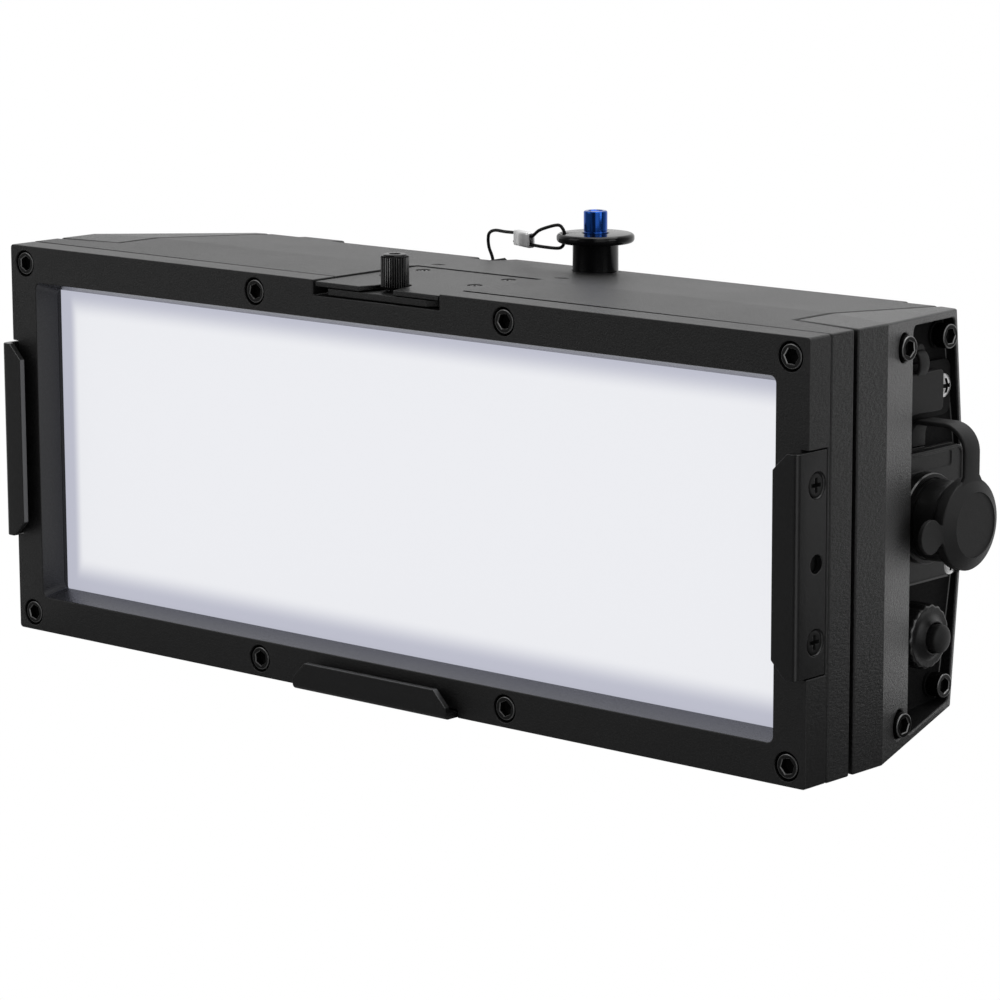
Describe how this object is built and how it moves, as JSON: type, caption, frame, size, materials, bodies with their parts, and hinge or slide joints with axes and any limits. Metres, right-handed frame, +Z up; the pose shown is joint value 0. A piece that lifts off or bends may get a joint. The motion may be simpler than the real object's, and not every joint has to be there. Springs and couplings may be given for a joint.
{
  "type": "led soft light panel",
  "caption": "Compact LED soft light head with accessory clips, sliding top latch, quick-release mounting pin and capped connector bays.",
  "frame": {"origin": "middle of the flat underside, 25 mm behind the frame's front face", "axes": "+X to the object's right seen from the front, +Y towards the rear, +Z up; it shines towards -Y"},
  "size_m": [0.306, 0.1037, 0.1345],
  "materials": {
    "frame_paint": "fine matt black powder coat on aluminium",
    "housing_paint": "fine matt black powder coat",
    "cap_paint": "fine matt black powder coat",
    "clip_paint": "matt black on folded sheet",
    "knob_black": "knurled, black anodised",
    "pin_black": "turned, black anodised",
    "pin_blue": "blue anodised",
    "diffuser_white": "opal acrylic",
    "black_rubber": "moulded matt rubber",
    "black_plastic": "moulded black nylon",
    "display_black": "gloss window",
    "screw_black": "black oxide steel",
    "sink_black": "black anodised extrusion",
    "chamber_white": "diffuse white",
    "wire_black": "nylon coated wire rope",
    "bright_steel": "bright"
  },
  "bodies": {
    "panel": {"cap_strap": "black_rubber", "clip_bottom": "clip_paint", "clip_left": "clip_paint", "clip_right": "clip_paint", "control_module": "black_plastic", "cover_stud": "black_rubber", "data_port": "black_plastic", "data_socket_in": "black_plastic", "data_socket_out": "black_plastic", "diffuser": "diffuser_white", "diffuser_gasket": "black_rubber", "display_window": "display_black", "end_cap_left": "cap_paint", "end_cap_right": "cap_paint", "end_seal_left": "black_rubber", "end_seal_right": "black_rubber", "front_frame": "frame_paint", "front_screw_1": "screw_black", "front_screw_2": "screw_black", "front_screw_3": "screw_black", "front_screw_4": "screw_black", "front_screw_5": "screw_black", "front_screw_6": "screw_black", "front_screw_7": "screw_black", "front_screw_8": "screw_black", "heat_sink": "sink_black", "inlet_gasket": "black_rubber", "lanyard": "wire_black", "lanyard_anchor": "bright_steel", "latch_cover": "clip_paint", "led_board": "chamber_white", "main_housing": "housing_paint", "mixing_chamber": "chamber_white", "mount_receiver": "housing_paint", "power_inlet": "black_plastic", "reset_ring": "black_plastic", "side_screw_left_bottom_front": "screw_black", "side_screw_left_bottom_rear": "screw_black", "side_screw_left_top_front": "screw_black", "side_screw_left_top_rear": "screw_black", "side_screw_right_bottom_front": "screw_black", "side_screw_right_bottom_rear": "screw_black", "side_screw_right_top_front": "screw_black", "side_screw_right_top_rear": "screw_black"},
    "latch_slide": {"latch_gate": "clip_paint"},
    "latch_nut": {"latch_knob": "knob_black"},
    "pin": {"lock_pin": "pin_black", "lanyard_ferrule": "bright_steel"},
    "pin_push": {"pin_button": "pin_blue"},
    "inlet_cap": {"power_cap": "black_rubber"},
    "port_lid": {"data_cover": "black_rubber"},
    "reset": {"reset_button": "black_rubber"},
    "cap_in": {"socket_cap_in": "black_rubber"},
    "cap_out": {"socket_cap_out": "black_rubber"},
    "encoder_1": {"encoder_knob_1": "black_plastic"},
    "encoder_2": {"encoder_knob_2": "black_plastic"},
    "button_1": {"menu_button_1": "black_rubber"},
    "button_2": {"menu_button_2": "black_rubber"},
    "button_3": {"menu_button_3": "black_rubber"},
    "button_4": {"menu_button_4": "black_rubber"}
  },
  "joints": [
    {"name": "latch_slide", "type": "slide", "parent": "panel", "child": "latch_slide", "axis": [0, -1, 0], "range_m": [0, 0.0055]},
    {"name": "latch_nut_turn", "type": "hinge", "parent": "latch_slide", "child": "latch_nut", "pos_m": [0, -0.0167, 0.11805], "axis": [0, 0, 1], "range_deg": [0, 360]},
    {"name": "pin_lift", "type": "slide", "parent": "panel", "child": "pin", "axis": [0, 0, 1], "range_m": [0, 0.03], "deforming": ["lanyard"]},
    {"name": "pin_push_press", "type": "slide", "parent": "pin", "child": "pin_push", "axis": [0, 0, -1], "range_m": [0, 0.0025], "stiffness_N_per_m": 800, "springref_m": -0.002},
    {"name": "inlet_cap_pull", "type": "slide", "parent": "panel", "child": "inlet_cap", "axis": [1, 0, 0], "range_m": [0, 0.012], "deforming": ["cap_strap"]},
    {"name": "port_lid_flip", "type": "hinge", "parent": "panel", "child": "port_lid", "pos_m": [0.1355, 0.049, 0.10595], "axis": [0, -1, 0], "range_deg": [0, 120]},
    {"name": "reset_press", "type": "slide", "parent": "panel", "child": "reset", "axis": [-1, 0, 0], "range_m": [0, 0.0012], "stiffness_N_per_m": 1200, "springref_m": -0.001},
    {"name": "encoder_1_turn", "type": "hinge", "parent": "panel", "child": "encoder_1", "pos_m": [-0.085, 0.062, 0.06125], "axis": [0, 1, 0], "continuous": true},
    {"name": "encoder_2_turn", "type": "hinge", "parent": "panel", "child": "encoder_2", "pos_m": [-0.052, 0.062, 0.06125], "axis": [0, 1, 0], "continuous": true},
    {"name": "button_1_press", "type": "slide", "parent": "panel", "child": "button_1", "axis": [0, -1, 0], "range_m": [0, 0.001], "stiffness_N_per_m": 1000, "springref_m": -0.001},
    {"name": "button_2_press", "type": "slide", "parent": "panel", "child": "button_2", "axis": [0, -1, 0], "range_m": [0, 0.001], "stiffness_N_per_m": 1000, "springref_m": -0.001},
    {"name": "button_3_press", "type": "slide", "parent": "panel", "child": "button_3", "axis": [0, -1, 0], "range_m": [0, 0.001], "stiffness_N_per_m": 1000, "springref_m": -0.001},
    {"name": "button_4_press", "type": "slide", "parent": "panel", "child": "button_4", "axis": [0, -1, 0], "range_m": [0, 0.001], "stiffness_N_per_m": 1000, "springref_m": -0.001},
    {"name": "cap_in_flip", "type": "hinge", "parent": "panel", "child": "cap_in", "pos_m": [-0.1423, 0.049, 0.09525], "axis": [0, 1, 0], "range_deg": [0, 120]},
    {"name": "cap_out_flip", "type": "hinge", "parent": "panel", "child": "cap_out", "pos_m": [-0.1423, 0.049, 0.05225], "axis": [0, 1, 0], "range_deg": [0, 120]}
  ]
}
